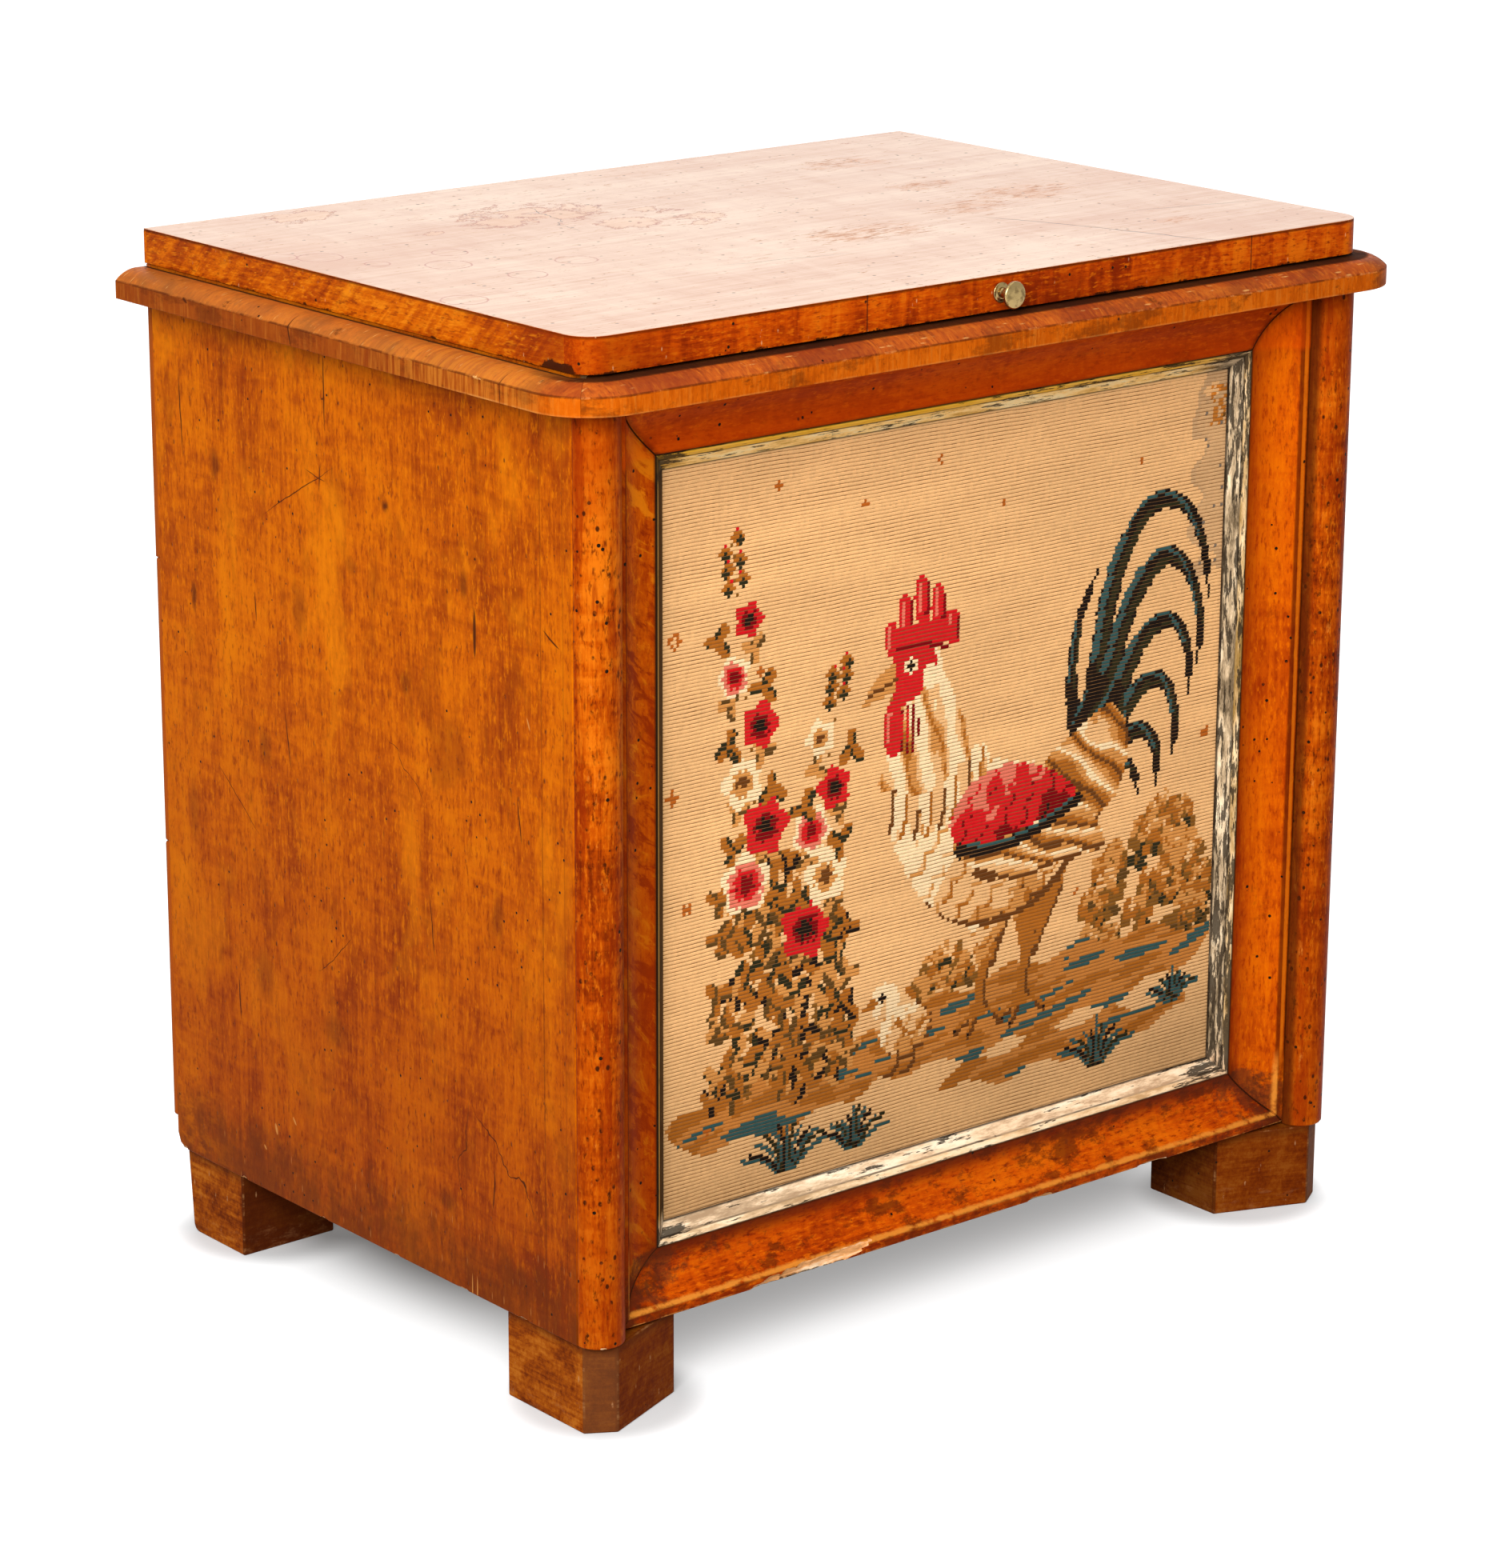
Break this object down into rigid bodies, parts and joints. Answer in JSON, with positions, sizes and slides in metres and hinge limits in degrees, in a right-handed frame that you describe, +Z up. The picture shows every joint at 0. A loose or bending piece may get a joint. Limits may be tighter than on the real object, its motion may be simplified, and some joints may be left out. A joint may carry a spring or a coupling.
{
  "type": "storage chest",
  "caption": "Square wooden chest with a hinged lid, half-round corner posts and a needlework panel in a hollow-moulded front frame.",
  "frame": {"origin": "on the floor, under the middle of the whole chest's box", "axes": "+Z up, the needlework front faces -Y, +X to the right of someone facing that front"},
  "size_m": [0.674, 0.4787, 0.668],
  "materials": {
    "polished_wood": "aged shellac polish over honey-coloured birch veneer",
    "lid_veneer": "faded polished birch veneer",
    "foot_wood": "worn dark stain",
    "softwood": "unpolished, aged",
    "gilding": "worn leaf over pale ground",
    "needlework": "wool stitches on canvas",
    "old_brass": "tarnished",
    "screw_steel": "darkened"
  },
  "bodies": {
    "box": {"back_board_lower": "softwood", "back_board_middle": "softwood", "back_board_upper": "softwood", "back_rail": "softwood", "bottom_board_back": "softwood", "bottom_board_front": "softwood", "bottom_board_middle": "softwood", "corner_post_left": "polished_wood", "corner_post_right": "polished_wood", "foot_back_left": "foot_wood", "foot_back_right": "foot_wood", "foot_front_left": "foot_wood", "foot_front_right": "foot_wood", "frame_rail_bottom": "polished_wood", "frame_rail_top": "polished_wood", "frame_stile_left": "polished_wood", "frame_stile_right": "polished_wood", "front_board": "softwood", "gilt_slip_bottom": "gilding", "gilt_slip_left": "gilding", "gilt_slip_right": "gilding", "gilt_slip_top": "gilding", "glue_blocks": "softwood", "hinge_box_leaf_left": "old_brass", "hinge_box_leaf_right": "old_brass", "hinge_box_screws": "screw_steel", "hinge_pin_left": "old_brass", "hinge_pin_right": "old_brass", "needlework_board": "softwood", "needlework_canvas": "needlework", "rim_front": "polished_wood", "rim_left": "polished_wood", "rim_right": "polished_wood", "side_panel_left": "polished_wood", "side_panel_right": "polished_wood"},
    "lid": {"hinge_lid_leaf_left": "old_brass", "hinge_lid_leaf_right": "old_brass", "hinge_lid_screws": "screw_steel", "knob": "old_brass", "knob_rose": "old_brass", "knob_screw": "screw_steel", "lid_band_back": "polished_wood", "lid_band_front": "polished_wood", "lid_band_left": "polished_wood", "lid_band_right": "polished_wood", "lid_cleat_left": "softwood", "lid_cleat_right": "softwood", "lid_panel": "softwood", "lid_top_veneer": "lid_veneer"}
  },
  "joints": [
    {"name": "lid_hinge", "type": "hinge", "parent": "box", "child": "lid", "pos_m": [0, 0.23615, 0.64585], "axis": [-1, 0, 0], "range_deg": [0, 100]}
  ]
}
